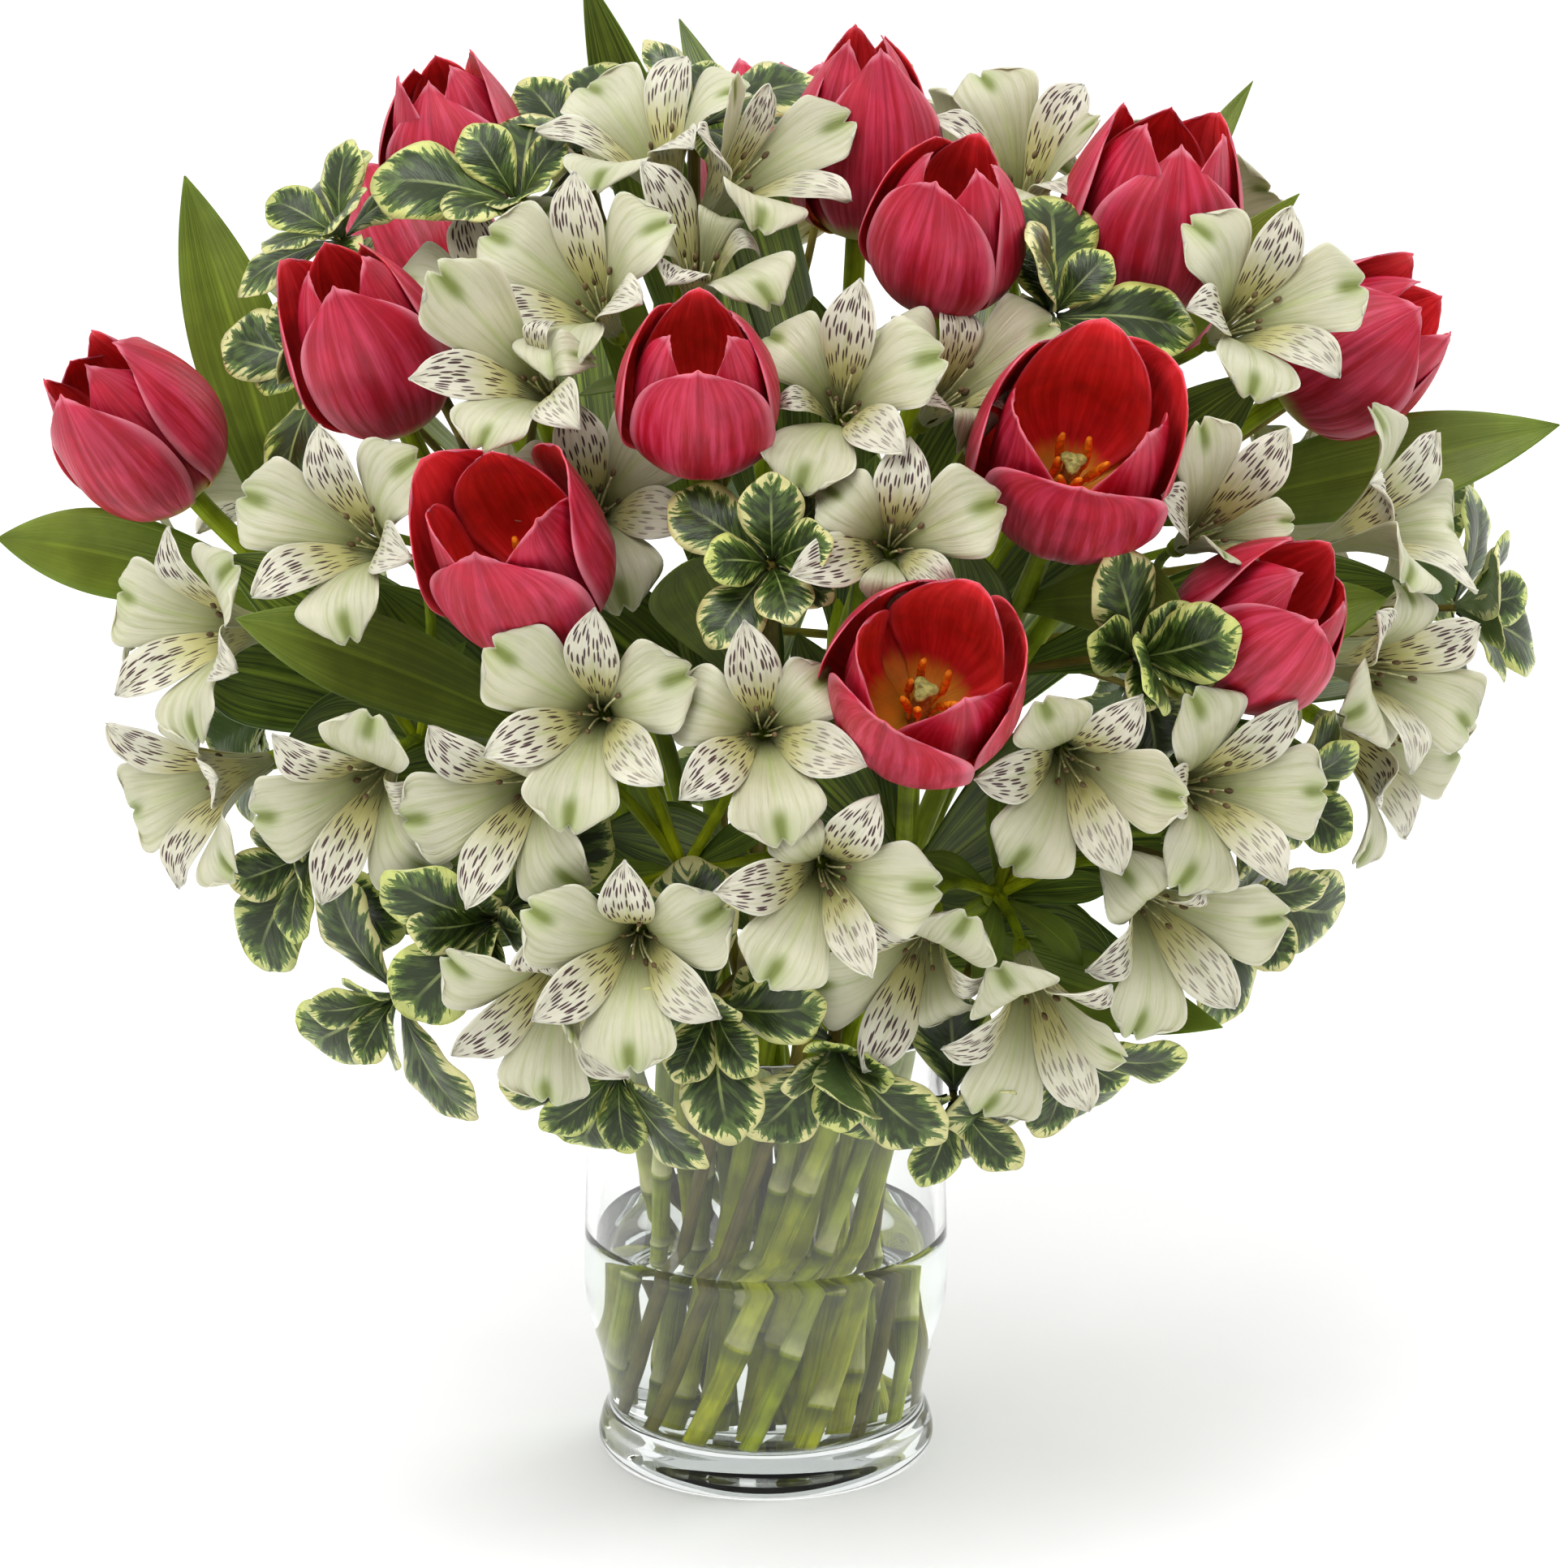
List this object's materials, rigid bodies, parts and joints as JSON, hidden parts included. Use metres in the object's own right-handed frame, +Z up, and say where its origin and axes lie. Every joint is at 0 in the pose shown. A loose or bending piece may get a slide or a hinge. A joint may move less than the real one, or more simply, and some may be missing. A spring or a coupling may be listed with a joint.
{
  "type": "vase of tulips",
  "caption": "Rounded spring bouquet of red tulips, white spotted alstroemerias and variegated pittosporum in a clear round glass vase of water.",
  "frame": {"origin": "centre of the vase's flat underside, on the surface it stands on", "axes": "+Z up along the vase's axis, +Y away from the side of the bouquet that is looked at first, +X to that viewer's right"},
  "size_m": [0.3943, 0.3465, 0.3911],
  "materials": {
    "vase_glass": "clear, smooth and thick at the foot",
    "water": "clear water, slightly green",
    "tulip_petals": "satin crimson petals with fine lengthwise streaks and paler edges",
    "tulip_green": "satin green stems and long leaves",
    "alstroemeria_petals": "satin cream petals with yellow throats and maroon dashes",
    "alstroemeria_green": "satin green stems and narrow leaves",
    "pittosporum_leaves": "glossy dark green leaves with ragged cream margins on brown twigs"
  },
  "bodies": {
    "root": {"alstroemeria_head_back_left": "alstroemeria_petals", "alstroemeria_head_back_right": "alstroemeria_petals", "alstroemeria_head_left": "alstroemeria_petals", "alstroemeria_head_lower_right": "alstroemeria_petals", "alstroemeria_head_middle": "alstroemeria_petals", "alstroemeria_head_right": "alstroemeria_petals", "alstroemeria_head_top": "alstroemeria_petals", "alstroemeria_head_upper_left": "alstroemeria_petals", "alstroemeria_head_upper_middle": "alstroemeria_petals", "alstroemeria_head_upper_right": "alstroemeria_petals", "alstroemeria_stem_back_left": "alstroemeria_green", "alstroemeria_stem_back_right": "alstroemeria_green", "alstroemeria_stem_left": "alstroemeria_green", "alstroemeria_stem_lower_right": "alstroemeria_green", "alstroemeria_stem_middle": "alstroemeria_green", "alstroemeria_stem_right": "alstroemeria_green", "alstroemeria_stem_top": "alstroemeria_green", "alstroemeria_stem_upper_left": "alstroemeria_green", "alstroemeria_stem_upper_middle": "alstroemeria_green", "alstroemeria_stem_upper_right": "alstroemeria_green", "pittosporum_back": "pittosporum_leaves", "pittosporum_centre": "pittosporum_leaves", "pittosporum_lower_left": "pittosporum_leaves", "pittosporum_lower_middle": "pittosporum_leaves", "pittosporum_lower_right": "pittosporum_leaves", "pittosporum_right": "pittosporum_leaves", "pittosporum_top": "pittosporum_leaves", "pittosporum_upper_left": "pittosporum_leaves", "tulip_bloom_01": "tulip_petals", "tulip_bloom_02": "tulip_petals", "tulip_bloom_03": "tulip_petals", "tulip_bloom_04": "tulip_petals", "tulip_bloom_05": "tulip_petals", "tulip_bloom_06": "tulip_petals", "tulip_bloom_07": "tulip_petals", "tulip_bloom_08": "tulip_petals", "tulip_bloom_09": "tulip_petals", "tulip_bloom_10": "tulip_petals", "tulip_bloom_11": "tulip_petals", "tulip_bloom_12": "tulip_petals", "tulip_bloom_13": "tulip_petals", "tulip_bloom_14": "tulip_petals", "tulip_bloom_15": "tulip_petals", "tulip_stem_01": "tulip_green", "tulip_stem_02": "tulip_green", "tulip_stem_03": "tulip_green", "tulip_stem_04": "tulip_green", "tulip_stem_05": "tulip_green", "tulip_stem_06": "tulip_green", "tulip_stem_07": "tulip_green", "tulip_stem_08": "tulip_green", "tulip_stem_09": "tulip_green", "tulip_stem_10": "tulip_green", "tulip_stem_11": "tulip_green", "tulip_stem_12": "tulip_green", "tulip_stem_13": "tulip_green", "tulip_stem_14": "tulip_green", "tulip_stem_15": "tulip_green", "vase": "vase_glass", "water": "water"}
  },
  "joints": []
}
